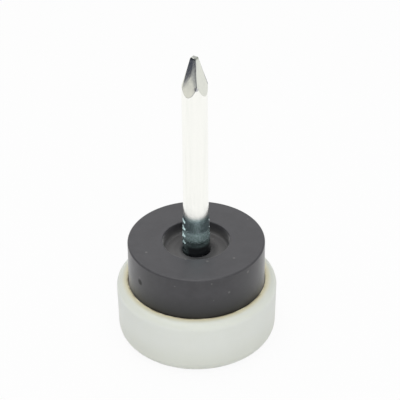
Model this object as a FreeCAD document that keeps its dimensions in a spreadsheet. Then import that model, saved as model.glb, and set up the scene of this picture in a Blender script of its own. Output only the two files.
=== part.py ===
import FreeCAD, Part
import os

import Sketcher

# Nail-on furniture glide: a nylon cup that slides on the floor, a rubber cushion held in the cup, and a
# nail whose head lies between them. Millimetres, +Z up along the nail, origin at the centre of the
# underside.

# Driving dimensions, in millimetres and degrees
SIZES = {
    # Glide base: the nylon cup
    "base_diameter": 22.2,
    "base_height": 8.4,
    "base_draft": 1.2,
    "base_floor": 2.4,
    "cup_wall": 1.08,
    "foot_radius": 1.6,
    "rim_radius": 1.1,
    "lip_height": 1.5,
    "lip_overhang": 0.55,
    # Rubber cushion
    "seat_diameter": 18.8,
    "seat_height": 14.7,
    "seat_bevel": 0.25,
    "recess_diameter": 9.2,
    "recess_depth": 1.8,
    # Nail
    "shank_diameter": 3.43,
    "nail_reach": 28.4,
    "head_diameter": 9.5,
    "head_thickness": 1.3,
    "point_length": 6.2,
    "tip_width": 0.6,
    # Grip marks, pressed into two sides of the nail's swollen foot
    "grip_swell": 0.2,
    "grip_reach": 3.9,
    "grip_length": 7.8,
    "grip_fade": 0.6,
    "grip_pitch": 1.1,
    "grip_width": 0.75,
    "grip_depth": 0.3,
    # Clearances
    "cup_clearance": 0.05,
    "nail_clearance": 0.05,
    # How far a cutting outline runs past the metal that it cuts
    "cut_margin": 0.5,
}

# Lengths that follow from the driving dimensions, as expressions on the sheet
RIM_R = "(Sizes.base_diameter / 2)"
UNDERSIDE_R = f"({RIM_R} - Sizes.base_height * tan(Sizes.base_draft))"
CAVITY_R = f"({RIM_R} - Sizes.cup_wall)"
LIP_R = f"({CAVITY_R} - Sizes.lip_overhang)"
LIP_FOOT_Z = "(Sizes.base_height - Sizes.lip_height)"
FLANGE_R = f"({CAVITY_R} - Sizes.cup_clearance)"
FLANGE_Z = f"({LIP_FOOT_Z} - Sizes.cup_clearance)"
NECK_R = f"({LIP_R} - Sizes.cup_clearance)"
SEAT_R = "(Sizes.seat_diameter / 2)"
RECESS_R = "(Sizes.recess_diameter / 2)"
RECESS_Z = "(Sizes.seat_height - Sizes.recess_depth)"
SHANK_R = "(Sizes.shank_diameter / 2)"
GRIP_R = f"({SHANK_R} + Sizes.grip_swell)"
GRIP_TOP_Z = "(Sizes.seat_height + Sizes.grip_reach)"
SWELL_TOP_Z = f"({GRIP_TOP_Z} + Sizes.grip_pitch - Sizes.grip_width)"
HEAD_R = "(Sizes.head_diameter / 2)"
HEAD_TOP_Z = "(Sizes.base_floor + Sizes.head_thickness)"
HOLE_R = f"({GRIP_R} + Sizes.nail_clearance)"
HEAD_POCKET_R = f"({HEAD_R} + Sizes.nail_clearance)"
TIP_Z = "(Sizes.seat_height + Sizes.nail_reach)"
SHOULDER_Z = f"({TIP_Z} - Sizes.point_length)"
FACET_SLOPE = f"(({SHANK_R} - Sizes.tip_width / 2) / Sizes.point_length)"

FULL_TURN = 360
FACETS = 4
FACET_TURN = 45
# The nail's seam lies clear of its grip marks and of the point's edges
SEAM_TURN = 67.5
TOUCH = 1e-4
# The property that holds the size of each kind of softened edge
SOFTENED_BY = {"Fillet": "Radius", "Chamfer": "Size"}

doc = FreeCAD.newDocument("furniture_glide")
sheet = doc.addObject("Spreadsheet::Sheet", "Sizes")
for row, (alias, size) in enumerate(SIZES.items(), start=1):
    sheet.set(f"A{row}", alias)
    sheet.set(f"B{row}", str(size))
    sheet.setAlias(f"B{row}", alias)
doc.recompute()


def number(expression):
    """Value of an expression on the sheet, as a plain number."""
    value = sheet.evalExpression(expression)
    return float(getattr(value, "Value", value))


def new_body(label):
    """Empty body whose label names the piece."""
    body = doc.addObject("PartDesign::Body", label)
    body.Label = label
    return body


def origin_feature(body, role):
    """One of the body's own origin planes or axes."""
    return next(item for item in body.Origin.OriginFeatures if item.Role == role)


def tie_corner(sketch, line, kind, axis, expression):
    """Hold a line's start point at a distance from the origin, or on the axis where that is nought."""
    if expression == "0":
        sketch.addConstraint(Sketcher.Constraint("PointOnObject", line, 1, axis))
        return
    constraint = sketch.addConstraint(Sketcher.Constraint(kind, -1, 1, line, 1, number(expression)))
    sketch.setExpression(f"Constraints[{constraint}]", expression)


def outline(body, name, loops, turn=0):
    """Sketch on the body's XZ plane, turned about Z, whose loops list corners as radius and height."""
    sketch = body.newObject("Sketcher::SketchObject", name)
    sketch.AttachmentSupport = [(origin_feature(body, "XZ_Plane"), "")]
    sketch.MapMode = "FlatFace"
    turn_about_z = FreeCAD.Rotation(FreeCAD.Vector(0, 1, 0), turn)
    sketch.AttachmentOffset = FreeCAD.Placement(FreeCAD.Vector(), turn_about_z)
    for corners in loops:
        first = sketch.GeometryCount
        points = [FreeCAD.Vector(number(radius), number(height), 0) for radius, height in corners]
        for start, end in zip(points, points[1:] + points[:1]):
            sketch.addGeometry(Part.LineSegment(start, end))
        for step, (radius, height) in enumerate(corners):
            line = first + step
            following = first + (step + 1) % len(corners)
            sketch.addConstraint(Sketcher.Constraint("Coincident", line, 2, following, 1))
            tie_corner(sketch, line, "DistanceX", -2, radius)
            tie_corner(sketch, line, "DistanceY", -1, height)
    doc.recompute()
    return sketch


def revolve(body, name, corners, turn=0):
    """Solid of revolution about Z from a half section, whose seam is turned about Z."""
    sketch = outline(body, f"{name}_section", [corners], turn)
    solid = body.newObject("PartDesign::Revolution", name)
    solid.Profile = sketch
    solid.ReferenceAxis = (sketch, ["V_Axis"])
    solid.Angle = FULL_TURN
    doc.recompute()
    return solid


def soften_edge(body, base, kind, name, radius, height, size):
    """Fillet or chamfer the circular edge that lies at a radius and a height."""
    edge_r = number(radius)
    edge_z = number(height)
    names = []
    for count, edge in enumerate(base.Shape.Edges, start=1):
        if not isinstance(edge.Curve, Part.Circle):
            continue
        if abs(edge.Curve.Radius - edge_r) < TOUCH and abs(edge.Curve.Center.z - edge_z) < TOUCH:
            names.append(f"Edge{count}")
    softened = body.newObject(f"PartDesign::{kind}", name)
    softened.Base = (base, names)
    softened.setExpression(SOFTENED_BY[kind], size)
    doc.recompute()
    return softened


def cut_across(body, base, name, sketch, length):
    """Cut a sketch's loops out of a solid, equally to both sides of the sketch's plane."""
    cut = body.newObject("PartDesign::Pocket", name)
    cut.Profile = sketch
    cut.Midplane = True
    cut.setExpression("Length", length)
    doc.recompute()
    if cut.Shape.Volume > base.Shape.Volume - TOUCH:
        raise RuntimeError(f"{name} cuts nothing")
    return cut


def make_glide_base():
    """Nylon cup: drafted wall, rounded foot and rim, and a lip that holds the cushion's flange."""
    body = new_body("glide_base")
    cup = revolve(body, "cup", [
        ("0", "0"),
        (UNDERSIDE_R, "0"),
        (RIM_R, "Sizes.base_height"),
        (LIP_R, "Sizes.base_height"),
        (LIP_R, LIP_FOOT_Z),
        (CAVITY_R, LIP_FOOT_Z),
        (CAVITY_R, "Sizes.base_floor"),
        ("0", "Sizes.base_floor"),
    ])
    foot = soften_edge(body, cup, "Fillet", "rounded_foot", UNDERSIDE_R, "0", "Sizes.foot_radius")
    rim = soften_edge(body, foot, "Fillet", "rounded_rim", RIM_R, "Sizes.base_height", "Sizes.rim_radius")
    body.Tip = rim
    return body


def make_rubber_cushion():
    """Rubber body: seat with a recess about the nail, flange under the lip, pocket for the nail's head."""
    body = new_body("rubber_cushion")
    block = revolve(body, "block", [
        (HEAD_POCKET_R, "Sizes.base_floor"),
        (FLANGE_R, "Sizes.base_floor"),
        (FLANGE_R, FLANGE_Z),
        (NECK_R, FLANGE_Z),
        (NECK_R, "Sizes.base_height"),
        (SEAT_R, "Sizes.seat_height"),
        (RECESS_R, "Sizes.seat_height"),
        (RECESS_R, RECESS_Z),
        (HOLE_R, RECESS_Z),
        (HOLE_R, HEAD_TOP_Z),
        (HEAD_POCKET_R, HEAD_TOP_Z),
    ])
    seat = soften_edge(body, block, "Chamfer", "bevelled_seat", SEAT_R, "Sizes.seat_height", "Sizes.seat_bevel")
    body.Tip = seat
    return body


def grip_notch(side):
    """Corners of the topmost grip mark on one side of the nail's foot: a V, open outwards."""
    middle = f"({GRIP_TOP_Z} - Sizes.grip_width / 2)"
    upper = f"{middle} + Sizes.grip_width / 2"
    lower = f"{middle} - Sizes.grip_width / 2"
    surface_r = f"{side} * {GRIP_R}"
    outside_r = f"{side} * ({GRIP_R} + Sizes.cut_margin)"
    return [
        (f"{side} * ({GRIP_R} - Sizes.grip_depth)", middle),
        (surface_r, upper),
        (outside_r, upper),
        (outside_r, lower),
        (surface_r, lower),
    ]


def make_nail():
    """Nail: flat head, foot with grip marks on two sides, plain shank, four-facet diamond point."""
    body = new_body("nail")
    blank = revolve(body, "blank", [
        ("0", "Sizes.base_floor"),
        (HEAD_R, "Sizes.base_floor"),
        (HEAD_R, HEAD_TOP_Z),
        (GRIP_R, HEAD_TOP_Z),
        (GRIP_R, SWELL_TOP_Z),
        (SHANK_R, f"{SWELL_TOP_Z} + Sizes.grip_fade"),
        (SHANK_R, TIP_Z),
        ("0", TIP_Z),
    ], SEAM_TURN)

    notches = outline(body, "grip_notches", [grip_notch("1"), grip_notch("-1")])
    notch = cut_across(body, blank, "grip_mark", notches, f"2 * {GRIP_R}")
    marks = body.newObject("PartDesign::LinearPattern", "grip_marks")
    marks.Originals = [notch]
    marks.Direction = (origin_feature(body, "Z_Axis"), [""])
    marks.Reversed = True
    count = "floor(Sizes.grip_length / Sizes.grip_pitch)"
    marks.setExpression("Length", f"({count} - 1) * Sizes.grip_pitch")
    marks.setExpression("Occurrences", count)
    body.Tip = marks
    doc.recompute()

    over = "Sizes.cut_margin"
    outer_r = f"({SHANK_R} + {over} * {FACET_SLOPE})"
    inner_r = f"(Sizes.tip_width / 2 - {over} * {FACET_SLOPE})"
    facet_outline = outline(body, "facet_outline", [[
        (outer_r, f"{SHOULDER_Z} - {over}"),
        (outer_r, f"{TIP_Z} + {over}"),
        (inner_r, f"{TIP_Z} + {over}"),
    ]], FACET_TURN)
    facet = cut_across(body, marks, "facet", facet_outline, "2 * Sizes.shank_diameter")
    point = body.newObject("PartDesign::PolarPattern", "diamond_point")
    point.Originals = [facet]
    point.Axis = (origin_feature(body, "Z_Axis"), [""])
    point.Angle = FULL_TURN
    point.Occurrences = FACETS
    body.Tip = point
    doc.recompute()
    return body


def check(bodies):
    """Stop where an object failed to compute or a piece is not one valid solid."""
    for item in doc.Objects:
        if "Invalid" in item.State or "Error" in item.State:
            raise RuntimeError(f"{item.Label} failed: {item.State}")
    for body in bodies:
        if body.Shape.isNull() or not body.Shape.isValid() or len(body.Shape.Solids) != 1:
            raise RuntimeError(f"{body.Label} is not one valid solid")


def main():
    """Build every piece, check it and write it to its own file."""
    bodies = [make_glide_base(), make_rubber_cushion(), make_nail()]
    doc.recompute()
    check(bodies)
    os.makedirs("parts", exist_ok=True)
    for body in bodies:
        body.Shape.exportStep(f"parts/{body.Label}.step")
        box = body.Shape.BoundBox
        print(f"{body.Label}: {body.Shape.Volume:.1f} mm3, z {box.ZMin:.2f} to {box.ZMax:.2f}, "
              f"x {box.XMin:.3f} to {box.XMax:.3f}")


main()
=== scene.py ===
"""Nail-on furniture glide: nylon cup, rubber cushion and plated nail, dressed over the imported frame.

Sections and finishes are drawn in millimetres. Meshes and the studio are in metres. +Z runs up along the
nail, and the origin is the centre of the cup's underside.
"""

from __future__ import annotations

import logging
import math
from abc import ABC, abstractmethod
from collections.abc import Sequence
from dataclasses import dataclass
from enum import Enum

import bmesh
import bpy
from bpy.types import Material, Mesh, NodeSocket, NodeTree, Object, World
from mathutils import Matrix, Vector


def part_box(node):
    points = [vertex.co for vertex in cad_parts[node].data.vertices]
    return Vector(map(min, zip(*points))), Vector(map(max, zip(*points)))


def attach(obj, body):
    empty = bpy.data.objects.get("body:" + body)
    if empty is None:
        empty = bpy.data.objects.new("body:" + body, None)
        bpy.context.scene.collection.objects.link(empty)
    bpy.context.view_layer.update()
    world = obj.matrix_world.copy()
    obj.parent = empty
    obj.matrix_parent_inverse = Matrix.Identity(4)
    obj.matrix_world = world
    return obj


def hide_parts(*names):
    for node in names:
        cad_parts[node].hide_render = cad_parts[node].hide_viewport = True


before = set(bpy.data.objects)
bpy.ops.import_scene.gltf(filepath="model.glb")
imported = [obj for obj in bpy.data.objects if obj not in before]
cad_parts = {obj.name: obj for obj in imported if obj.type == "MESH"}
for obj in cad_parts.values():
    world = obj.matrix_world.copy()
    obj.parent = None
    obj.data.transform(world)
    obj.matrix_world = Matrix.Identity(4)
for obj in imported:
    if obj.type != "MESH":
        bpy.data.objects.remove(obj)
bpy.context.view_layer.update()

LOG = logging.getLogger("furniture_glide")
MM = 0.001
PER_MM = (1.0 / MM, 1.0 / MM, 1.0 / MM)
BODY = "root"

Colour = tuple[float, float, float]
Spot = tuple[float, float, float]
Point = tuple[float, float]
Band = tuple[float, float]
Sockets = bpy.types.bpy_prop_collection


class Node(Enum):
    """CAD nodes that the dressed pieces stand for."""

    GLIDE_BASE = "glide_base"
    RUBBER_CUSHION = "rubber_cushion"
    NAIL = "nail"


class Slot(Enum):
    """Material slots of the record."""

    NYLON = "nylon"
    RUBBER = "rubber"
    ZINC = "zinc_plated_steel"


class Effect(Enum):
    """Shader groups that several finishes share."""

    PLACE = "Radius and height"
    GRAIN = "Surface grain"
    DUST = "Handling dust"


class Rule(Enum):
    """Geometry Nodes trees that give the pieces their shape."""

    TURN = "Turned section"
    TURNED_PIECE = "Turned piece"
    DRAWN_NAIL = "Drawn nail"


class SocketKind(Enum):
    """Kinds of socket that the node groups have."""

    FLOAT = "NodeSocketFloat"
    INT = "NodeSocketInt"
    VECTOR = "NodeSocketVector"
    GEOMETRY = "NodeSocketGeometry"
    MATERIAL = "NodeSocketMaterial"


def floats(*names: str) -> dict[str, SocketKind]:
    """Float sockets by name."""
    return dict.fromkeys(names, SocketKind.FLOAT)


def box_mm(node: Node) -> tuple[Vector, Vector]:
    """Lowest and highest corner of a CAD node in millimetres."""
    low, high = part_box(node.value)
    return low / MM, high / MM


def radius_mm(node: Node) -> float:
    """Radius of a CAD node about the nail's axis, in millimetres."""
    low, high = box_mm(node)
    return min(-low.x, high.x, -low.y, high.y)


def metres(lengths: Sequence[float]) -> tuple[float, ...]:
    """Lengths in metres, from millimetres."""
    return tuple(length * MM for length in lengths)


def rgba(colour: Colour) -> tuple[float, float, float, float]:
    """Colour with full alpha, as Blender's sockets take it."""
    return (*colour, 1.0)


class Tree:
    """A node tree with short calls that add nodes and join them."""

    STEP = 190.0
    RAMP = ("Value", "From Min", "From Max", "To Min", "To Max")

    def __init__(self, tree: NodeTree) -> None:
        """Take over a node tree."""
        self.tree = tree

    @classmethod
    def bare(cls, owner: Material | World) -> Tree:
        """Empty tree of a material or a world.

        Args:
            owner: The material or the world.

        Returns:
            Its tree, with no node in it.
        """
        owner.use_nodes = True
        owner.node_tree.nodes.clear()
        return cls(owner.node_tree)

    @classmethod
    def opened(
        cls,
        title: Effect | Rule,
        inputs: dict[str, SocketKind],
        outputs: dict[str, SocketKind],
    ) -> tuple[Tree, Sockets, Sockets]:
        """Start a node group with its sockets.

        Args:
            title: The group's name.
            inputs: Kind of each input by name.
            outputs: Kind of each output by name.

        Returns:
            The tree, the sockets that bring its inputs and the sockets that take its outputs.
        """
        kind = "ShaderNodeTree" if isinstance(title, Effect) else "GeometryNodeTree"
        made = bpy.data.node_groups.new(title.value, kind)
        for way, sockets in (("INPUT", inputs), ("OUTPUT", outputs)):
            for name, socket in sockets.items():
                made.interface.new_socket(name, in_out=way, socket_type=socket.value)
        tree = cls(made)
        return tree, tree.node("NodeGroupInput").outputs, tree.node("NodeGroupOutput").inputs

    def feed(self, socket: NodeSocket, source: object) -> None:
        """Join a socket to another one, or set it to a constant.

        Args:
            socket: The input socket.
            source: An output socket, or the constant.
        """
        if isinstance(source, NodeSocket):
            self.tree.links.new(source, socket)
        else:
            socket.default_value = source

    def wire(self, node: bpy.types.Node, inputs: dict[str | int, object]) -> None:
        """Feed several inputs of a node, each by its name or number."""
        for name, source in inputs.items():
            self.feed(node.inputs[name], source)

    def node(
        self,
        kind: str,
        inputs: dict[str | int, object] | None = None,
        **settings: object,
    ) -> bpy.types.Node:
        """Add a node.

        Args:
            kind: Blender's name of the node type.
            inputs: A socket or a constant for each input, by its name or number.
            settings: Properties of the node, by name.

        Returns:
            The new node.
        """
        node = self.tree.nodes.new(kind)
        node.location = (self.STEP * len(self.tree.nodes), 0.0)
        for name, value in settings.items():
            setattr(node, name, value)
        self.wire(node, inputs or {})
        return node

    def math(self, operation: str, *operands: object, clamp: bool = False) -> NodeSocket:
        """Result of a Math node, kept between 0 and 1 where it is clamped."""
        inputs = dict(enumerate(operands))
        return self.node("ShaderNodeMath", inputs, operation=operation, use_clamp=clamp).outputs[0]

    def times(self, first: object, second: object) -> NodeSocket:
        """Product of two values."""
        return self.math("MULTIPLY", first, second)

    def scaled(self, vector: object, factors: Spot) -> NodeSocket:
        """Vector multiplied by a factor for each axis."""
        return self.node("ShaderNodeVectorMath", {0: vector, 1: factors}, operation="MULTIPLY").outputs[0]

    def split(self, vector: object) -> Sockets:
        """X, Y and Z of a vector."""
        return self.node("ShaderNodeSeparateXYZ", {0: vector}).outputs

    def ramp(self, value: object, band: Sequence[float], result: Band = (0.0, 1.0)) -> NodeSocket:
        """Smooth ramp between two results, as a value goes through a band."""
        inputs = dict(zip(self.RAMP, (value, *band, *result)))
        return self.node("ShaderNodeMapRange", inputs, interpolation_type="SMOOTHSTEP").outputs["Result"]

    def noise(self, vector: object, scale: object, detail: float, roughness: float) -> NodeSocket:
        """Value of a Noise Texture that is read at a vector."""
        inputs = {"Vector": vector, "Scale": scale, "Detail": detail, "Roughness": roughness}
        return self.node("ShaderNodeTexNoise", inputs).outputs[0]

    def blend(self, factor: object, first: object, second: object) -> NodeSocket:
        """Blend two colours.

        Args:
            factor: The share of the second colour.
            first: The first colour, a socket or a constant.
            second: The second colour, a socket or a constant.

        Returns:
            The socket that holds the blended colour.
        """
        node = self.node("ShaderNodeMix", {0: factor}, data_type="RGBA")
        colours = [socket for socket in node.inputs if socket.type == "RGBA"]
        for socket, colour in zip(colours, (first, second)):
            self.feed(socket, rgba(colour) if isinstance(colour, tuple) else colour)
        return next(socket for socket in node.outputs if socket.type == "RGBA")

    def layered(self, colour: object, layers: Sequence[tuple[object, object]]) -> NodeSocket:
        """Lay colours over each other.

        Args:
            colour: The colour below.
            layers: Mask and colour of each layer, from the lowest to the topmost.

        Returns:
            The socket that holds the colour with all its layers.
        """
        for mask, above in layers:
            colour = self.blend(mask, colour, above)
        return colour

    def group(self, tree: NodeTree, **inputs: object) -> Sockets:
        """Outputs of a shader group that is placed with the given inputs."""
        return self.node("ShaderNodeGroup", inputs, node_tree=tree).outputs


# Shared shader groups

AT = {"Vector": SocketKind.VECTOR}


class SharedEffects:
    """The shader groups that more than one finish uses."""

    def __init__(self) -> None:
        """Build each group once."""
        self.place = self._place()
        self.grain = self._grain()
        self.dust = self._dust()

    @staticmethod
    def _place() -> NodeTree:
        """Tell how far a point is from the nail's axis and above the floor, in millimetres.

        Returns:
            The group.
        """
        tree, given, result = Tree.opened(Effect.PLACE, AT, floats("Radius", "Height"))
        metric = tree.scaled(given["Vector"], PER_MM)
        flat = tree.scaled(metric, (1.0, 1.0, 0.0))
        length = tree.node("ShaderNodeVectorMath", {0: flat}, operation="LENGTH")
        tree.feed(result["Radius"], length.outputs["Value"])
        tree.feed(result["Height"], tree.split(metric)["Z"])
        return tree.tree

    @staticmethod
    def _grain() -> NodeTree:
        """Give a fine surface height and a broad mottle.

        Returns:
            The group.
        """
        inputs = AT | floats("Fine", "Broad")
        tree, given, result = Tree.opened(Effect.GRAIN, inputs, floats("Height", "Mottle"))
        metric = tree.scaled(given["Vector"], PER_MM)
        tree.feed(result["Height"], tree.noise(metric, given["Fine"], detail=3.0, roughness=0.55))
        tree.feed(result["Mottle"], tree.noise(metric, given["Broad"], detail=4.0, roughness=0.6))
        return tree.tree

    @staticmethod
    def _dust() -> NodeTree:
        """Mark scattered specks, each in a cell of its own.

        Returns:
            The group.
        """
        inputs = AT | floats("Cells", "Size", "Share")
        tree, given, result = Tree.opened(Effect.DUST, inputs, floats("Mask"))
        spread = {"Vector": tree.scaled(given["Vector"], PER_MM), "Scale": given["Cells"]}
        cells = tree.node("ShaderNodeTexVoronoi", spread, feature="F1").outputs
        chance = tree.node("ShaderNodeSeparateColor", {0: cells["Color"]}).outputs
        chosen = tree.math("LESS_THAN", chance[0], given["Share"])
        away = tree.math("DIVIDE", cells["Distance"], tree.times(given["Size"], chance[1]))
        inside = tree.math("SUBTRACT", 1.0, away, clamp=True)
        tree.feed(result["Mask"], tree.times(chosen, tree.ramp(inside, band=(0.0, 0.5))))
        return tree.tree


# Finishes


class Finish(ABC):
    """What the three finishes have in common. Lengths, bands and spots are in millimetres."""

    SPOT_CORE = 0.4
    IOR = 1.5
    name: str
    bump_strength: float
    bump_depth: float

    def make(self, effects: SharedEffects) -> Material:
        """Build the material.

        Args:
            effects: The shared shader groups.

        Returns:
            The material.
        """
        material = bpy.data.materials.new(self.name)
        material.use_nodes = True
        tree = Tree(material.node_tree)
        shader = next(node for node in material.node_tree.nodes if node.type == "BSDF_PRINCIPLED")
        where = tree.node("ShaderNodeTexCoord").outputs["Object"]
        tree.wire(shader, self.dress(tree, where, effects))
        return material

    @abstractmethod
    def dress(self, tree: Tree, where: NodeSocket, effects: SharedEffects) -> dict[str, object]:
        """Work out what the shader's inputs take.

        Args:
            tree: The material's tree.
            where: The Object coordinates.
            effects: The shared shader groups.

        Returns:
            A socket or a constant for each input, by name.
        """

    def bumped(self, tree: Tree, height: object) -> NodeSocket:
        """Normal of a surface that follows a height."""
        inputs = {"Strength": self.bump_strength, "Distance": self.bump_depth * MM, "Height": height}
        return tree.node("ShaderNodeBump", inputs).outputs["Normal"]

    def spot(self, tree: Tree, where: object, middle: Spot, radius: float) -> NodeSocket:
        """Mask of one small round spot with a soft edge."""
        centre_distance = tree.node("ShaderNodeVectorMath", {0: where, 1: metres(middle)}, operation="DISTANCE")
        return tree.ramp(centre_distance.outputs["Value"], metres((radius, radius * self.SPOT_CORE)))


@dataclass(frozen=True)
class NylonFinish(Finish):
    """Milky, faintly translucent nylon, creamier where the thin lip lets light through."""

    name: str = "milky_nylon"
    body: Colour = (0.745, 0.772, 0.715)
    pale: Colour = (0.785, 0.805, 0.765)
    # low: painted shade, the cup's wall darker towards the bottom as the light from above falls off
    low: Colour = (0.70, 0.72, 0.655)
    shade_low_heights: Band = (5.4, 0.6)
    # rim: painted shade that tones down the highlight on the rounded top of the rim
    rim: Colour = (0.685, 0.71, 0.645)
    rim_shade_heights: Band = (7.35, 8.1)
    # cream: painted light, a warm glow where light comes through the thin lip
    cream: Colour = (0.80, 0.74, 0.50)
    cream_share: float = 0.9
    lip_radii: Band = (10.5, 9.6)
    lip_heights: Band = (7.2, 8.0)
    grime: Colour = (0.34, 0.29, 0.18)
    grime_radii: Band = (9.85, 9.5)
    grime_patches: Band = (0.44, 0.62)
    speck: Colour = (0.42, 0.41, 0.37)
    speck_share: float = 0.5
    rough_patches: Band = (0.25, 0.75)
    roughness: Band = (0.36, 0.46)
    scatter: float = 0.22
    scatter_tint: Colour = (1.0, 0.95, 0.8)
    scatter_depth: float = 0.9
    bump_strength: float = 0.10
    bump_depth: float = 0.03

    def dress(self, tree: Tree, where: NodeSocket, effects: SharedEffects) -> dict[str, object]:
        """Work out what the shader's inputs take.

        Args:
            tree: The material's tree.
            where: The Object coordinates.
            effects: The shared shader groups.

        Returns:
            A socket or a constant for each input, by name.
        """
        radius, height = tree.group(effects.place, Vector=where)
        grain, mottle = tree.group(effects.grain, Vector=where, Fine=6.0, Broad=0.35)
        dust = tree.group(effects.dust, Vector=where, Cells=0.7, Size=0.10, Share=0.22)["Mask"]
        lip = tree.times(tree.ramp(radius, self.lip_radii), tree.ramp(height, self.lip_heights))
        edge = tree.times(tree.ramp(radius, self.grime_radii), lip)
        layers = (
            # painted shade: darker towards the bottom
            (tree.ramp(height, self.shade_low_heights), self.low),
            # painted shade: tones down the rim's highlight
            (tree.ramp(height, self.rim_shade_heights), self.rim),
            # painted light: cream glow through the thin lip
            (tree.times(lip, self.cream_share), self.cream),
            (tree.times(edge, tree.ramp(mottle, self.grime_patches)), self.grime),
            (tree.times(dust, self.speck_share), self.speck),
        )
        return {
            "Base Color": tree.layered(tree.blend(mottle, self.body, self.pale), layers),
            "Roughness": tree.ramp(mottle, self.rough_patches, self.roughness),
            "IOR": self.IOR,
            "Subsurface Weight": self.scatter,
            "Subsurface Radius": self.scatter_tint,
            "Subsurface Scale": self.scatter_depth * MM,
            "Normal": self.bumped(tree, grain),
        }


@dataclass(frozen=True)
class RubberFinish(Finish):
    """Matt charcoal rubber with a fine moulded grain and a little dust, and painted light and shade: a
    lighter recess floor, a contact shadow about the nail, a darker lower side and a dark small void in
    its side.
    """

    name: str = "charcoal_rubber"
    body: Colour = (0.034, 0.033, 0.0375)
    bloom: Colour = (0.046, 0.045, 0.050)
    bloom_patches: Band = (0.3, 0.7)
    # recess: painted light, a lighter colour on the recess floor and lower wall against the shade there
    recess: Colour = (0.082, 0.080, 0.080)
    recess_radius: float = 4.9
    lit_recess_radii: Band = (2.0, 2.5)
    lit_recess_heights: Band = (14.2, 13.1)
    dust: Colour = (0.20, 0.20, 0.19)
    dust_share: float = 0.36
    # crease: dark colour of painted shade, for the contact shadow about the nail and the shade down the
    # cushion's side
    crease: Colour = (0.014, 0.014, 0.015)
    # contact_shadow_*: painted contact shadow about the nail's hole, set off to the right as if the light
    # comes from the left
    contact_shadow_at: Spot = (0.22, -0.30, 0.0)
    contact_shadow_radii: Band = (2.75, 2.1)
    contact_shadow_shares: Band = (0.0, 0.85)
    # side_*: painted shade, the cushion's side darker towards the cup's rim
    side_shade_radius: float = 7.0
    side_shade_heights: Band = (12.6, 8.6)
    # void: a small pit that is not modelled; its dark inside is painted shade, near black and made
    # metallic to take out its gloss
    void: Colour = (0.004, 0.004, 0.004)
    void_at: Spot = (-8.53, -3.95, 11.65)
    void_radius: float = 0.60
    rough_patches: Band = (0.25, 0.75)
    roughness: Band = (0.40, 0.50)
    sheen: float = 0.42
    sheen_roughness: float = 0.34
    bump_strength: float = 0.22
    bump_depth: float = 0.04

    def dress(self, tree: Tree, where: NodeSocket, effects: SharedEffects) -> dict[str, object]:
        """Work out what the shader's inputs take.

        Args:
            tree: The material's tree.
            where: The Object coordinates.
            effects: The shared shader groups.

        Returns:
            A socket or a constant for each input, by name.
        """
        radius, height = tree.group(effects.place, Vector=where)
        grain, mottle = tree.group(effects.grain, Vector=where, Fine=7.0, Broad=0.55)
        dust = tree.group(effects.dust, Vector=where, Cells=0.8, Size=0.24, Share=0.42)["Mask"]
        # inner and ring mark where the recess floor is painted lighter
        inner = tree.math("LESS_THAN", radius, self.recess_radius)
        ring = tree.times(inner, tree.ramp(radius, self.lit_recess_radii))
        # centre of the painted contact shadow, off the nail's axis
        shift = {0: where, 1: metres(self.contact_shadow_at)}
        from_shadow_centre = tree.node("ShaderNodeVectorMath", shift, operation="SUBTRACT").outputs[0]
        centre_distance = tree.group(effects.place, Vector=from_shadow_centre)["Radius"]
        shaded_side = tree.math("GREATER_THAN", radius, self.side_shade_radius)
        void = self.spot(tree, where, self.void_at, self.void_radius)
        layers = (
            # painted light: recess floor and lower wall lightened
            (tree.times(ring, tree.ramp(height, self.lit_recess_heights)), self.recess),
            (tree.times(dust, self.dust_share), self.dust),
            # painted contact shadow about the nail's hole
            (tree.ramp(centre_distance, self.contact_shadow_radii, self.contact_shadow_shares), self.crease),
            # painted shade: side darker towards the rim
            (tree.times(shaded_side, tree.ramp(height, self.side_shade_heights)), self.crease),
            # painted shade inside the small pit
            (void, self.void),
        )
        skin = tree.blend(tree.ramp(mottle, self.bloom_patches), self.body, self.bloom)
        return {
            "Base Color": tree.layered(skin, layers),
            # the pit's painted shade also takes out its gloss
            "Metallic": void,
            "Roughness": tree.ramp(mottle, self.rough_patches, self.roughness),
            "IOR": self.IOR,
            "Sheen Weight": self.sheen,
            "Sheen Roughness": self.sheen_roughness,
            "Normal": self.bumped(tree, grain),
        }


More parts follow.
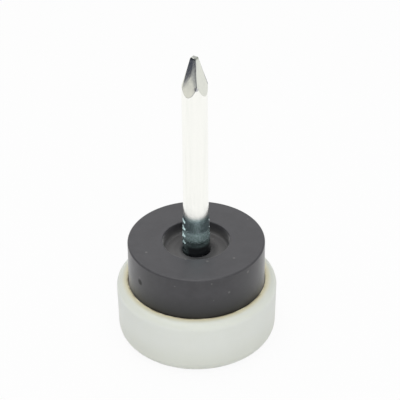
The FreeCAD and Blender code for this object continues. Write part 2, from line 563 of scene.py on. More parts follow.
@dataclass(frozen=True)
class ZincFinish(Finish):
    """Bright zinc plate on drawn wire, with painted light on the foot: a blue-grey painted reflection
    with painted highlight patches, painted shade down in the hole and a darker painted tip.
    """

    name: str = "zinc_plating"
    drawn_stretch: Spot = (1.0, 1.0, 0.035)
    bright: Colour = (0.975, 0.975, 0.93)
    dull: Colour = (0.935, 0.94, 0.895)
    dull_patches: Band = (0.42, 0.70)
    # foot and foot_highlight: painted reflection, the blue-grey of the rubber and surroundings mirrored
    # in the foot, with painted highlight patches; the foot is also made less metallic so this colour
    # shows
    foot: Colour = (0.40, 0.56, 0.55)
    foot_highlight: Colour = (0.66, 0.83, 0.86)
    highlight_patches: Band = (0.42, 0.62)
    foot_reflection_heights: Band = (19.6, 18.7)
    shaded: Colour = (0.10, 0.11, 0.12)
    shade_heights: Band = (15.1, 14.3)
    shade_sides: Band = (-1.85, -1.15)
    shade_shares: Band = (0.3, 1.0)
    stain: Colour = (0.35, 0.36, 0.35)
    stain_share: float = 0.35
    # tip: painted shade, the blunt top darkened to tone down its highlight
    tip: Colour = (0.42, 0.43, 0.40)
    tip_shade_heights: Band = (42.6, 43.0)
    nick: Colour = (0.45, 0.45, 0.47)
    nick_at: Spot = (-0.12, -1.64, 39.22)
    nick_radius: float = 0.38
    matt_tops: Band = (17.4, 16.3)
    matt_feet: Band = (14.8, 16.1)
    matt_metal: float = 0.66
    rough_patches: Band = (0.3, 0.75)
    roughness: Band = (0.14, 0.20)
    point_heights: Band = (36.5, 39.0)
    point_polish: float = 0.06
    bump_strength: float = 0.12
    bump_depth: float = 0.02

    def dress(self, tree: Tree, where: NodeSocket, effects: SharedEffects) -> dict[str, object]:
        """Work out what the shader's inputs take.

        Args:
            tree: The material's tree.
            where: The Object coordinates.
            effects: The shared shader groups.

        Returns:
            A socket or a constant for each input, by name.
        """
        height = tree.group(effects.place, Vector=where)["Height"]
        along = tree.scaled(where, self.drawn_stretch)
        lines, streaks = tree.group(effects.grain, Vector=along, Fine=7.0, Broad=2.2)
        flecks, patches = tree.group(effects.grain, Vector=where, Fine=5.0, Broad=0.8)
        dust = tree.group(effects.dust, Vector=where, Cells=1.1, Size=0.12, Share=0.25)["Mask"]
        foot_reflection = tree.blend(tree.ramp(flecks, self.highlight_patches), self.foot, self.foot_highlight)
        side = tree.ramp(tree.split(where)["X"], metres(self.shade_sides), self.shade_shares)
        layers = (
            # painted reflection and highlights on the foot
            (tree.ramp(height, self.foot_reflection_heights), foot_reflection),
            (tree.times(tree.ramp(height, self.shade_heights), side), self.shaded),
            (tree.times(dust, self.stain_share), self.stain),
            # painted shade on the blunt tip
            (tree.ramp(height, self.tip_shade_heights), self.tip),
            (self.spot(tree, where, self.nick_at, self.nick_radius), self.nick),
        )
        plate = tree.blend(tree.ramp(streaks, self.dull_patches), self.bright, self.dull)
        matt = tree.times(tree.ramp(height, self.matt_tops), tree.ramp(height, self.matt_feet))
        rough = tree.ramp(patches, self.rough_patches, self.roughness)
        polish = tree.times(tree.ramp(height, self.point_heights), self.point_polish)
        return {
            "Base Color": tree.layered(plate, layers),
            "Metallic": tree.ramp(matt, (0.0, 1.0), (1.0, self.matt_metal)),
            "Roughness": tree.math("SUBTRACT", rough, polish),
            "Normal": self.bumped(tree, lines),
        }


# Sections and the rules that turn them


@dataclass(frozen=True)
class Corner:
    """Corner of a half section in millimetres, with the radius that rounds it."""

    radius: float
    height: float
    rounding: float = 0.0


class Section:
    """Half section of a turned piece, as a row of points from corner to corner."""

    ARC_STEPS = 9
    LEAST_STEPS = 3
    SUPPORT = 0.05
    SHORTEST = 0.2
    LONGEST = 1.0

    def __init__(self, corners: Sequence[Corner], closed: bool = False) -> None:
        """Round the corners and divide the runs between them.

        Args:
            corners: The corners in order.
            closed: Whether the last corner runs on to the first.
        """
        self.points: list[Point] = []
        count = len(corners)
        for step, corner in enumerate(corners):
            inner = closed or 0 < step < count - 1
            arc = [Vector((corner.radius, corner.height))]
            if inner and corner.rounding > 0.0:
                arc = self._arc(corners[step - 1], corner, corners[(step + 1) % count])
            self._run_to(arc[0], bool(corner.rounding))
            self.points.extend((point.x, point.y) for point in arc)
        if closed:
            self._run_to(Vector(self.points[0]), bool(corners[0].rounding))
            self.points.append(self.points[0])

    def _arc(self, before: Corner, corner: Corner, after: Corner) -> list[Vector]:
        """Points of the arc that rounds a corner.

        Args:
            before: The corner before it.
            corner: The corner.
            after: The corner after it.

        Returns:
            The arc's points in order.
        """
        middle = Vector((corner.radius, corner.height))
        back = (Vector((before.radius, before.height)) - middle).normalized()
        ahead = (Vector((after.radius, after.height)) - middle).normalized()
        half = back.angle(ahead) / 2.0
        reach = corner.rounding / math.tan(half)
        centre = middle + (back + ahead).normalized() * (corner.rounding / math.sin(half))
        start = middle + back * reach - centre
        sweep = start.angle_signed(middle + ahead * reach - centre)
        steps = max(self.LEAST_STEPS, round(self.ARC_STEPS * abs(sweep) / (math.pi / 2.0)))
        angle = math.atan2(start.y, start.x)
        turns = [angle - sweep * step / steps for step in range(steps + 1)]
        return [centre + corner.rounding * Vector((math.cos(turn), math.sin(turn))) for turn in turns]

    def _run_to(self, end: Vector, rounded: bool) -> None:
        """Divide the straight run from the last point to the next one.

        Args:
            end: The next point.
            rounded: Whether an arc starts there.
        """
        if not self.points:
            return
        start = Vector(self.points[-1])
        run = end - start
        length = run.length
        if length < self.SHORTEST:
            return
        stops = {self.SUPPORT / length, 1.0 - self.SUPPORT / length} if rounded else set()
        pieces = math.ceil(length / self.LONGEST)
        stops.update(step / pieces for step in range(1, pieces))
        for stop in sorted(stops):
            point = start + run * stop
            self.points.append((point.x, point.y))

    def mesh(self, name: str) -> Mesh:
        """Draw the section on the XZ plane, in metres.

        Args:
            name: The mesh's name.

        Returns:
            A mesh of the section's points and the edges between them.
        """
        made = bpy.data.meshes.new(name)
        points = [(radius * MM, 0.0, height * MM) for radius, height in self.points]
        made.from_pydata(points, [(step, step + 1) for step in range(len(points) - 1)], [])
        return made


class ShapeRules:
    """The Geometry Nodes trees that make the turned pieces."""

    SECTION = {
        "Geometry": SocketKind.GEOMETRY,
        "Segments": SocketKind.INT,
        "Merge Distance": SocketKind.FLOAT,
    }
    DRESS = {"Crease Angle": SocketKind.FLOAT, "Material": SocketKind.MATERIAL}
    MARK_SIZES = floats("Top Mark", "Mark Pitch", "Mark Width", "Mark Depth", "Foot Radius")
    MARKS = {"Marks": SocketKind.INT} | MARK_SIZES
    FACETS = floats("Facet Slope", "Facet Hollow", "Facet Curve")
    POINT = FACETS | floats("Tip Height", "Tip Width", "Point Length", "Edge Rounding")
    RESULT = {"Geometry": SocketKind.GEOMETRY}
    MARK_START = 0.001
    LEAST_REACH = 1e-9
    LEAST_WEAR = 1e-6
    WEAR_DEPTH = 0.25

    def __init__(self) -> None:
        """Build each tree once."""
        self.turn = self._turn()
        self.trees = {Rule.TURNED_PIECE: self._piece(), Rule.DRAWN_NAIL: self._nail()}

    def _turn(self) -> NodeTree:
        """Turn a row of points about the Z axis and close its seam and poles.

        Returns:
            The tree.
        """
        tree, given, result = Tree.opened(Rule.TURN, self.SECTION, self.RESULT)
        size = tree.node("GeometryNodeAttributeDomainSize", {0: given["Geometry"]}, component="MESH")
        count = size.outputs["Point Count"]
        rows = {"Vertices X": tree.math("ADD", given["Segments"], 1.0), "Vertices Y": count}
        grid = tree.node("GeometryNodeMeshGrid", rows)
        index = tree.node("GeometryNodeInputIndex").outputs[0]
        point = {
            "Geometry": given["Geometry"],
            "Value": tree.node("GeometryNodeInputPosition").outputs[0],
            "Index": tree.math("MODULO", index, count),
        }
        sample = tree.node("GeometryNodeSampleIndex", point, data_type="FLOAT_VECTOR", domain="POINT")
        turn = tree.math("FLOOR", tree.math("DIVIDE", tree.math("ADD", index, 0.5), count))
        angle = tree.times(tree.math("DIVIDE", turn, given["Segments"]), 2.0 * math.pi)
        swing = {"Vector": sample.outputs[0], "Angle": angle}
        rotate = tree.node("ShaderNodeVectorRotate", swing, rotation_type="Z_AXIS")
        placed = self._moved(tree, grid.outputs["Mesh"], rotate.outputs[0])
        seam = {"Geometry": placed, "Distance": given["Merge Distance"]}
        tree.feed(result[0], tree.node("GeometryNodeMergeByDistance", seam).outputs[0])
        return tree.tree

    @staticmethod
    def _moved(tree: Tree, geometry: object, place: object, chosen: object = True) -> NodeSocket:
        """Geometry whose chosen points stand at a new place."""
        inputs = {"Geometry": geometry, "Selection": chosen, "Position": place}
        return tree.node("GeometryNodeSetPosition", inputs).outputs[0]

    def _turned(self, tree: Tree, given: Sockets) -> NodeSocket:
        """Turned form of the section that a tree is given."""
        inputs = {name: given[name] for name in self.SECTION}
        return tree.node("GeometryNodeGroup", inputs, node_tree=self.turn).outputs[0]

    @staticmethod
    def _finish(tree: Tree, geometry: object, given: Sockets, result: Sockets) -> None:
        """Crease the sharp edges, realize the result and give it its material.

        Args:
            tree: The tree.
            geometry: The socket that holds the shape.
            given: The tree's input sockets.
            result: The tree's output sockets.
        """
        smooth = tree.node("GeometryNodeSetShadeSmooth", {"Geometry": geometry}, domain="FACE")
        angle = tree.node("GeometryNodeInputMeshEdgeAngle").outputs["Unsigned Angle"]
        sharp = {
            "Geometry": smooth.outputs[0],
            "Selection": tree.math("GREATER_THAN", angle, given["Crease Angle"]),
            "Shade Smooth": False,
        }
        crease = tree.node("GeometryNodeSetShadeSmooth", sharp, domain="EDGE")
        real = tree.node("GeometryNodeRealizeInstances", {"Geometry": crease.outputs[0]})
        dressed = {"Geometry": real.outputs[0], "Material": given["Material"]}
        tree.feed(result[0], tree.node("GeometryNodeSetMaterial", dressed).outputs[0])

    def _piece(self) -> NodeTree:
        """Make a plain turned piece.

        Returns:
            The tree.
        """
        inputs = self.SECTION | self.DRESS
        tree, given, result = Tree.opened(Rule.TURNED_PIECE, inputs, self.RESULT)
        self._finish(tree, self._turned(tree, given), given, result)
        return tree.tree

    def _nail(self) -> NodeTree:
        """Make the nail: turned, marked across two sides of its foot, and cut to a four-facet point.

        Returns:
            The tree.
        """
        inputs = self.SECTION | self.DRESS | self.MARKS | self.POINT
        tree, given, result = Tree.opened(Rule.DRAWN_NAIL, inputs, self.RESULT)
        marked = self._mark(tree, self._turned(tree, given), given)
        self._finish(tree, self._point(tree, marked, given), given, result)
        return tree.tree

    def _mark(self, tree: Tree, geometry: object, given: Sockets) -> NodeSocket:
        """Press a ladder of V marks into the two X sides.

        Args:
            tree: The tree.
            geometry: The socket that holds the turned nail.
            given: The tree's input sockets.

        Returns:
            The socket that holds the marked nail.
        """
        x, y, z = tree.split(tree.node("GeometryNodeInputPosition").outputs[0])
        below = tree.math("DIVIDE", tree.math("SUBTRACT", given["Top Mark"], z), given["Mark Pitch"])
        last = tree.math("SUBTRACT", given["Marks"], 1.0)
        step = tree.math("MINIMUM", tree.math("MAXIMUM", tree.math("ROUND", below), 0.0), last)
        middle = tree.math("SUBTRACT", given["Top Mark"], tree.times(step, given["Mark Pitch"]))
        away = tree.math("ABSOLUTE", tree.math("SUBTRACT", z, middle))
        half = tree.math("DIVIDE", given["Mark Width"], 2.0)
        share = tree.math("SUBTRACT", 1.0, tree.math("DIVIDE", away, half))
        limit = tree.math("SUBTRACT", given["Foot Radius"], tree.times(share, given["Mark Depth"]))
        held = tree.math("MINIMUM", tree.math("ABSOLUTE", x), limit)
        sunk = {"X": tree.times(tree.math("SIGN", x), held), "Y": y, "Z": z}
        chosen = tree.math("GREATER_THAN", share, self.MARK_START)
        return self._moved(tree, geometry, tree.node("ShaderNodeCombineXYZ", sunk).outputs[0], chosen)

    def _point(self, tree: Tree, geometry: object, given: Sockets) -> NodeSocket:
        """Cut the four hollow facets of the point, with rounded edges on X and sharp ones on Y.

        Args:
            tree: The tree.
            geometry: The socket that holds the marked nail.
            given: The tree's input sockets.

        Returns:
            The socket that holds the pointed nail.
        """
        x, y, z = tree.split(tree.node("GeometryNodeInputPosition").outputs[0])
        down = tree.math("SUBTRACT", given["Tip Height"], z)
        left = tree.math("SUBTRACT", 1.0, tree.math("DIVIDE", down, given["Point Length"]), clamp=True)
        lean = tree.math("SUBTRACT", given["Facet Slope"], tree.times(left, given["Facet Curve"]))
        facet = tree.math("ADD", tree.math("DIVIDE", given["Tip Width"], 2.0), tree.times(down, lean))
        across = tree.math("ABSOLUTE", x)
        along = tree.math("ABSOLUTE", y)
        reach = tree.math("MAXIMUM", tree.math("ADD", across, along), self.LEAST_REACH)
        aside = tree.math("DIVIDE", tree.math("SUBTRACT", across, along), reach)
        bowl = tree.math("SUBTRACT", 1.0, tree.times(aside, aside))
        hollow = tree.times(given["Facet Hollow"], tree.times(bowl, left))
        worn = tree.times(given["Edge Rounding"], tree.math("SUBTRACT", 1.0, left))
        past = tree.math("SUBTRACT", tree.math("ADD", aside, worn), 1.0)
        bend = tree.math("DIVIDE", past, tree.math("MAXIMUM", worn, self.LEAST_WEAR), clamp=True)
        lost = tree.times(tree.times(worn, self.WEAR_DEPTH), tree.times(bend, bend))
        kept = tree.math("SUBTRACT", 1.0, tree.math("ADD", hollow, lost))
        allowed = tree.times(tree.times(facet, kept), math.sqrt(2.0))
        factor = tree.math("MINIMUM", tree.math("DIVIDE", allowed, reach), 1.0)
        cut = {"X": tree.times(x, factor), "Y": tree.times(y, factor), "Z": z}
        return self._moved(tree, geometry, tree.node("ShaderNodeCombineXYZ", cut).outputs[0])


# Pieces


@dataclass(kw_only=True)
class TurnedPiece(ABC):
    """What the three turned pieces have in common. Millimetres."""

    name: str
    node: Node
    slot: Slot
    finish: Finish
    rule: Rule = Rule.TURNED_PIECE
    segments: int = 192
    merge_distance: float = 0.0005
    crease: float = math.radians(35.0)

    @abstractmethod
    def section(self) -> Section:
        """Half section of the piece."""

    def sizes(self) -> dict[str, float]:
        """Inputs that only this piece's rule has, by name."""
        return {}

    def build(self, rules: ShapeRules, effects: SharedEffects) -> Object:
        """Shape and dress the piece, and let it stand for its CAD node.

        Args:
            rules: The shape rules.
            effects: The shared shader groups.

        Returns:
            The finished piece.
        """
        piece = self._shaped(rules.trees[self.rule], self.finish.make(effects))
        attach(piece, BODY)
        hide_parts(self.node.value)
        return piece

    def _shaped(self, rule: NodeTree, material: Material) -> Object:
        """Turn the section into a plain mesh object at the origin.

        Args:
            rule: The Geometry Nodes tree that shapes it.
            material: Its finish.

        Returns:
            The object, with no modifier left on it.
        """
        piece = bpy.data.objects.new(self.name, self.section().mesh(f"{self.name}_section"))
        bpy.context.scene.collection.objects.link(piece)
        modifier = piece.modifiers.new(rule.name, "NODES")
        modifier.node_group = rule
        values = {
            "Segments": self.segments,
            "Merge Distance": self.merge_distance * MM,
            "Crease Angle": self.crease,
            "Material": material,
            **self.sizes(),
        }
        for item in rule.interface.items_tree:
            if item.in_out == "INPUT" and item.name in values:
                modifier[item.identifier] = values[item.name]
        graph = bpy.context.evaluated_depsgraph_get()
        made = bpy.data.meshes.new_from_object(piece.evaluated_get(graph), depsgraph=graph)
        piece.modifiers.clear()
        piece.data = made
        made.name = self.name
        self._face_outwards(made)
        return piece

    @staticmethod
    def _face_outwards(mesh: Mesh) -> None:
        """Turn the faces of a closed mesh outwards.

        Args:
            mesh: The mesh, which is changed in place.
        """
        work = bmesh.new()
        work.from_mesh(mesh)
        bmesh.ops.recalc_face_normals(work, faces=work.faces)
        if work.calc_volume(signed=True) < 0.0:
            bmesh.ops.reverse_faces(work, faces=work.faces)
        work.to_mesh(mesh)
        work.free()


@dataclass(kw_only=True)
class GlideBase(TurnedPiece):
    """Nylon cup that slides on the floor and holds the cushion's foot under its lip."""

    name: str = "glide_base_moulded"
    node: Node = Node.GLIDE_BASE
    slot: Slot = Slot.NYLON
    finish: Finish = NylonFinish()
    draft: float = math.radians(1.2)
    floor: float = 2.4
    wall: float = 1.08
    foot_radius: float = 1.6
    rim_radius: float = 1.1
    lip_height: float = 1.5
    lip_overhang: float = 0.55
    lip_rounding: float = 0.12
    inner_rounding: float = 0.25

    def section(self) -> Section:
        """Draw the cup from the middle of its underside to the middle of its floor.

        Returns:
            The half section.
        """
        height = self.height()
        rim = self.rim_corner()
        foot = rim - height * math.tan(self.draft)
        corners = [
            Corner(0.0, 0.0),
            Corner(foot, 0.0, self.foot_radius),
            Corner(rim, height, self.rim_radius),
            Corner(self.lip(), height, self.lip_rounding),
            Corner(self.lip(), self.lip_foot()),
            Corner(self.cavity(), self.lip_foot()),
            Corner(self.cavity(), self.floor, self.inner_rounding),
            Corner(0.0, self.floor),
        ]
        return Section(corners)

    def height(self) -> float:
        """Height of the rim."""
        return box_mm(self.node)[1].z

    def rim_corner(self) -> float:
        """Radius at which the drafted wall would meet the top, before the rim is rounded."""
        bulge = math.tan(self.draft) + 1.0 / math.cos(self.draft) - 1.0
        return radius_mm(self.node) + self.rim_radius * bulge

    def cavity(self) -> float:
        """Radius of the hollow."""
        return self.rim_corner() - self.wall

    def lip(self) -> float:
        """Radius inside the lip."""
        return self.cavity() - self.lip_overhang

    def lip_foot(self) -> float:
        """Height of the lip's underside."""
        return self.height() - self.lip_height


@dataclass(kw_only=True)
class RubberCushion(TurnedPiece):
    """Rubber body that stands out of the cup, with a recess about the nail."""

    cup: GlideBase
    nail: Nail
    name: str = "rubber_cushion_moulded"
    node: Node = Node.RUBBER_CUSHION
    slot: Slot = Slot.RUBBER
    finish: Finish = RubberFinish()
    clearance: float = 0.05
    seat_radius: float = 9.40
    seat_rounding: float = 0.26
    recess_radius: float = 4.6
    recess_depth: float = 1.8
    recess_rounding: float = 0.16
    recess_fillet: float = 0.5
    collar_width: float = 1.1
    collar_height: float = 0.3
    collar_rounding: float = 1.0
    hole_rounding: float = 0.12
    flange_rounding: float = 0.2

    def section(self) -> Section:
        """Draw the cushion as a ring about the nail, round from the foot of its pocket.

        Returns:
            The half section, closed.
        """
        low, high = box_mm(self.node)
        recess = high.z - self.recess_depth
        neck = self.cup.lip() - self.clearance
        flange = self.cup.cavity() - self.clearance
        flange_top = self.cup.lip_foot() - self.clearance
        hole = self.nail.foot_radius() + self.clearance
        pocket = radius_mm(self.nail.node) + self.clearance
        pocket_top = low.z + self.nail.head_thickness
        corners = [
            Corner(pocket, low.z),
            Corner(flange, low.z, self.flange_rounding),
            Corner(flange, flange_top, self.flange_rounding),
            Corner(neck, flange_top),
            Corner(neck, self.cup.height()),
            Corner(self.seat_radius, high.z, self.seat_rounding),
            Corner(self.recess_radius, high.z, self.recess_rounding),
            Corner(self.recess_radius, recess, self.recess_fillet),
            Corner(hole + self.collar_width, recess, self.collar_rounding),
            Corner(hole, recess + self.collar_height, self.hole_rounding),
            Corner(hole, pocket_top),
            Corner(pocket, pocket_top),
        ]
        return Section(corners, closed=True)


@dataclass(kw_only=True)
class Nail(TurnedPiece):
    """Zinc-plated nail with a flat head, grip marks on two sides of its foot and a diamond point."""

    MARK_ROWS = (-0.5, -0.25, 0.0, 0.25, 0.5)
    BLUNT_END = ((0.58, 0.24), (0.54, 0.11), (0.46, 0.03), (0.26, 0.0), (0.0, 0.0))

    name: str = "nail_plated"
    node: Node = Node.NAIL
    slot: Slot = Slot.ZINC
    finish: Finish = ZincFinish()
    rule: Rule = Rule.DRAWN_NAIL
    segments: int = 288
    crease: float = math.radians(9.0)
    shank_radius: float = 1.715
    head_thickness: float = 1.3
    head_rounding: float = 0.3
    swell: float = 0.2
    swell_full: float = 14.0
    swell_end: float = 22.2
    swell_rows: int = 10
    marks: int = 7
    top_mark: float = 18.225
    mark_pitch: float = 1.1
    mark_width: float = 0.75
    mark_depth: float = 0.3
    point_length: float = 5.2
    tip_width: float = 0.7
    blunt_length: float = 0.45
    facet_hollow: float = 0.10
    facet_curve: float = 0.05
    edge_rounding: float = 0.42
    shoulder_rows: int = 44
    point_rows: int = 16

    def sizes(self) -> dict[str, float]:
        """Sizes of the marks and the point.

        Returns:
            The inputs of the nail's rule by name, lengths in metres.
        """
        return {
            "Marks": self.marks,
            "Top Mark": self.top_mark * MM,
            "Mark Pitch": self.mark_pitch * MM,
            "Mark Width": self.mark_width * MM,
            "Mark Depth": self.mark_depth * MM,
            "Foot Radius": self.foot_radius() * MM,
            "Tip Height": box_mm(self.node)[1].z * MM,
            "Tip Width": self.tip_width * MM,
            "Facet Slope": self.slope(),
            "Facet Hollow": self.facet_hollow,
            "Facet Curve": self.facet_curve,
            "Edge Rounding": self.edge_rounding,
            "Point Length": self.point_length * MM,
        }

    def slope(self) -> float:
        """How much a facet comes in along each millimetre of the point."""
        return (self.shank_radius - self.tip_width / 2.0) / self.point_length

    def foot_radius(self) -> float:
        """Radius of the foot where it is fully swollen."""
        return self.shank_radius + self.swell

    def swollen(self, height: float) -> Corner:
        """Corner at a height of the foot, which eases into the shank."""
        share = min(1.0, max(0.0, (self.swell_end - height) / (self.swell_end - self.swell_full)))
        return Corner(self.shank_radius + self.swell * share * share * (3.0 - 2.0 * share), height)

    def section(self) -> Section:
        """Draw the nail from the middle of its head to its tip, with a row wherever it bends.

        Returns:
            The half section.
        """
        low, high = box_mm(self.node)
        head = radius_mm(self.node)
        head_top = low.z + self.head_thickness
        corners = [
            Corner(0.0, low.z),
            Corner(head, low.z, self.head_rounding),
            Corner(head, head_top, self.head_rounding),
            Corner(self.foot_radius(), head_top),
        ]
        for mark in reversed(range(self.marks)):
            middle = self.top_mark - mark * self.mark_pitch
            corners.extend(self.swollen(middle + row * self.mark_width) for row in self.MARK_ROWS)
        first = self.top_mark + self.mark_width
        rise = (self.swell_end - first) / self.swell_rows
        corners.extend(self.swollen(first + rise * row) for row in range(self.swell_rows + 1))
        shoulder = high.z - self.point_length
        edge = high.z - self.ridge_length()
        run = edge - shoulder
        rows = [shoulder + run * row / self.shoulder_rows for row in range(self.shoulder_rows + 1)]
        rest = high.z - self.blunt_length - edge
        rows.extend(edge + rest * row / self.point_rows for row in range(1, self.point_rows + 1))
        corners.extend(Corner(self.shank_radius, row) for row in rows)
        corners.extend(Corner(radius, high.z - below) for radius, below in self.BLUNT_END)
        return Section(corners)

    def ridge_length(self) -> float:
        """Work out how long the edges between the facets are.

        Returns:
            The height of the tip above the place where an edge runs out on the shank.
        """
        lean = self.slope() - self.facet_curve
        rest = self.shank_radius / math.sqrt(2.0) - self.tip_width / 2.0
        root = math.sqrt(lean * lean + 4.0 * rest * self.facet_curve / self.point_length)
        return 2.0 * rest / (lean + root)


# Studio


@dataclass(frozen=True)
class Viewpoint:
    """Camera that stands in front of the glide and looks down at it. Metres and degrees."""

    name: str = "front_camera"
    lens: float = 148.5
    sensor: float = 36.0
    clip: Band = (0.01, 20.0)
    distance: float = 0.22155
    elevation: float = 34.14
    roll: float = 0.534
    target: Spot = (0.000566, 0.0, 0.02118)

    def build(self) -> Object:
        """Make the camera and let the scene use it.

        Returns:
            The camera.
        """
        data = bpy.data.cameras.new(self.name)
        data.lens = self.lens
        data.sensor_width = self.sensor
        data.clip_start, data.clip_end = self.clip
        camera = bpy.data.objects.new(self.name, data)
        lift = math.radians(self.elevation)
        back = Vector((0.0, -math.cos(lift), math.sin(lift)))
        camera.location = Vector(self.target) + back * self.distance
        tilt = Matrix.Rotation(math.pi / 2.0 - lift, 3, "X")
        camera.rotation_euler = (tilt @ Matrix.Rotation(-math.radians(self.roll), 3, "Z")).to_euler()
        bpy.context.scene.collection.objects.link(camera)
        bpy.context.scene.camera = camera
        return camera


def stage_sheet(name: str, corners: Sequence[Spot], material: Material) -> Object:
    """Make a flat stage piece with four corners.

    Args:
        name: The object's name.
        corners: Its corners in order, in metres.
        material: Its material.

    Returns:
        The object.
    """
    mesh = bpy.data.meshes.new(name)
    mesh.from_pydata(corners, [], [(0, 1, 2, 3)])
    mesh.materials.append(material)
    sheet = bpy.data.objects.new(name, mesh)
    bpy.context.scene.collection.objects.link(sheet)
    return sheet


DARK: Colour = (0.055, 0.06, 0.08)
SHADE: Colour = (0.29, 0.295, 0.31)
HALF: Colour = (0.40, 0.41, 0.41)
GREY: Colour = (0.71, 0.71, 0.66)
PALE: Colour = (0.75, 0.76, 0.73)
RIDGE: Colour = (0.20, 0.205, 0.225)
FLAG: Colour = (0.30, 0.31, 0.33)


@dataclass(frozen=True)
class Card:
    """Upright card that only reflections see. Metres."""

    HIDDEN_FROM = ("camera", "diffuse", "shadow", "transmission")

    name: str
    edge: tuple[Point, Point]
    low: float
    tops: Point
    colour: Colour

    def build(self) -> Object:
        """Make the card.

        Returns:
            The card.
        """
        material = bpy.data.materials.new(self.name)
        tree = Tree.bare(material)
        glow = tree.node("ShaderNodeEmission", {"Color": rgba(self.colour), "Strength": 1.0})
        tree.node("ShaderNodeOutputMaterial", {"Surface": glow.outputs[0]})
        start, end = self.edge
        start_top, end_top = self.tops
        corners = [(*start, self.low), (*end, self.low), (*end, end_top), (*start, start_top)]
        card = stage_sheet(self.name, corners, material)
        for ray in self.HIDDEN_FROM:
            setattr(card, f"visible_{ray}", False)
        return card


@dataclass(frozen=True)
class Softbox:
    """Square lamp that points at the glide. Metres and watts."""

    name: str
    place: Spot
    size: float
    power: float
    aim: Spot = (0.0, 0.0, 0.012)

    def build(self) -> Object:
        """Make the lamp.

        Returns:
            The lamp.
        """
        data = bpy.data.lights.new(self.name, "AREA")
        data.size = self.size
        data.energy = self.power
        lamp = bpy.data.objects.new(self.name, data)
        lamp.location = self.place
        beam = Vector(self.aim) - Vector(self.place)
        lamp.rotation_euler = beam.to_track_quat("-Z", "Y").to_euler()
        bpy.context.scene.collection.objects.link(lamp)
        return lamp


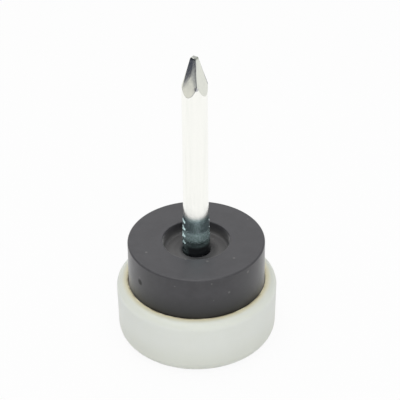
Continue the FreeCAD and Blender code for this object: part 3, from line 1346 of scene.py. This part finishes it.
@dataclass(frozen=True)
class Studio:
    """White floor and surroundings, two soft lamps and the cards that the nail's point mirrors."""

    WHITE = (1.0, 1.0, 1.0)

    floor_half: float = 1.5
    floor_drop: float = 0.00002
    floor_colour: Colour = (0.74, 0.74, 0.74)
    floor_veil: float = 0.92
    fill: float = 0.58
    cards: tuple[Card, ...] = (
        Card("grey_card", ((-0.0698, -0.0049), (-0.0580, -0.0391)), 0.012, (0.050, 0.050), GREY),
        Card("half_card", ((-0.0586, -0.0168), (-0.0512, -0.0332)), 0.018, (0.0359, 0.0359), HALF),
        Card("shade_card", ((-0.0554, -0.0241), (-0.0501, -0.0338)), 0.030, (0.0341, 0.0396), SHADE),
        Card("back_card", ((-0.0599, -0.0042), (-0.0572, -0.0181)), 0.018, (0.0292, 0.0319), DARK),
        Card("middle_card", ((-0.0572, -0.0181), (-0.0550, -0.0239)), 0.0235, (0.0319, 0.0341), DARK),
        Card("slanted_card", ((-0.0550, -0.0239), (-0.0531, -0.0279)), 0.0235, (0.0341, 0.0363), DARK),
        Card("level_card", ((-0.0531, -0.0279), (-0.0509, -0.0318)), 0.018, (0.0363, 0.0363), DARK),
        Card("front_card", ((-0.0509, -0.0318), (-0.0254, -0.0544)), 0.018, (0.0365, 0.0365), DARK),
        Card("right_card", ((0.06, 0.028), (0.06, -0.05)), 0.018, (0.045, 0.045), PALE),
        Card("ridge_card", ((0.03, 0.075), (0.06, 0.028)), 0.018, (0.045, 0.045), RIDGE),
        Card("left_flag", ((-0.25, 0.22), (-0.25, -0.22)), 0.06, (0.45, 0.45), FLAG),
        Card("right_flag", ((0.25, -0.22), (0.25, 0.22)), 0.06, (0.45, 0.45), FLAG),
    )
    lamps: tuple[Softbox, ...] = (
        Softbox("top_softbox", (-0.030, 0.00, 0.42), 0.42, 1.02),
        Softbox("front_softbox", (0.06, -0.36, 0.26), 0.30, 0.38),
    )
    view: Viewpoint = Viewpoint()
    turn: float = -11.0

    def build(self) -> None:
        """Set up the floor, cards, lamps, camera and surroundings."""
        self._floor()
        turn = Matrix.Rotation(math.radians(self.turn), 4, "Z")
        for stand in (*self.cards, *self.lamps, self.view):
            made = stand.build()
            if made.type == "MESH":
                made.data.transform(turn)
            else:
                made.matrix_basis = turn @ made.matrix_basis
        self._surroundings()
        bpy.context.scene.view_settings.view_transform = "Standard"

    @staticmethod
    def _seen(tree: Tree) -> NodeSocket:
        """Mask the rays that show a surface as it looks: camera, glossy and transmission rays.

        Args:
            tree: The tree of a material or the world.

        Returns:
            The socket that holds the mask.
        """
        path = tree.node("ShaderNodeLightPath").outputs
        seen = tree.math("MAXIMUM", path["Is Camera Ray"], path["Is Glossy Ray"])
        return tree.math("MAXIMUM", seen, path["Is Transmission Ray"])

    def _floor(self) -> None:
        """White floor that keeps a faint shadow and is clear from below."""
        material = bpy.data.materials.new("white_floor")
        tree = Tree.bare(material)
        matt = tree.node("ShaderNodeBsdfDiffuse", {"Color": rgba(self.floor_colour)}).outputs[0]
        glow = tree.node("ShaderNodeEmission", {"Strength": 1.0}).outputs[0]
        share = tree.times(self._seen(tree), self.floor_veil)
        veil = tree.node("ShaderNodeMixShader", {0: share, 1: matt, 2: glow}).outputs[0]
        clear = tree.node("ShaderNodeBsdfTransparent").outputs[0]
        below = tree.node("ShaderNodeNewGeometry").outputs["Backfacing"]
        under = tree.node("ShaderNodeMixShader", {0: below, 1: veil, 2: clear}).outputs[0]
        tree.node("ShaderNodeOutputMaterial", {"Surface": under})
        half = self.floor_half
        sides = ((-half, -half), (half, -half), (half, half), (-half, half))
        stage_sheet("floor", [(*side, -self.floor_drop) for side in sides], material)

    def _surroundings(self) -> None:
        """White world that lights the glide at a plain level."""
        world = bpy.data.worlds.new("white_surroundings")
        bpy.context.scene.world = world
        tree = Tree.bare(world)
        strength = tree.math("ADD", tree.times(self._seen(tree), 1.0 - self.fill), self.fill)
        white = {"Color": rgba(self.WHITE), "Strength": strength}
        backdrop = tree.node("ShaderNodeBackground", white).outputs[0]
        tree.node("ShaderNodeOutputWorld", {"Surface": backdrop})


def main() -> None:
    """Build the cup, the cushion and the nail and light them."""
    logging.basicConfig(level=logging.INFO, format="%(name)s: %(message)s")
    rules = ShapeRules()
    effects = SharedEffects()
    cup = GlideBase()
    nail = Nail()
    for part in (cup, RubberCushion(cup=cup, nail=nail), nail):
        piece = part.build(rules, effects)
        low, high = ((Vector(piece.bound_box[corner]) / MM).to_tuple(3) for corner in (0, 6))
        LOG.info("%s: %d faces, %s to %s mm", piece.name, len(piece.data.polygons), low, high)
    Studio().build()
    LOG.info("studio set up and sizes written")


if __name__ == "__main__":
    main()
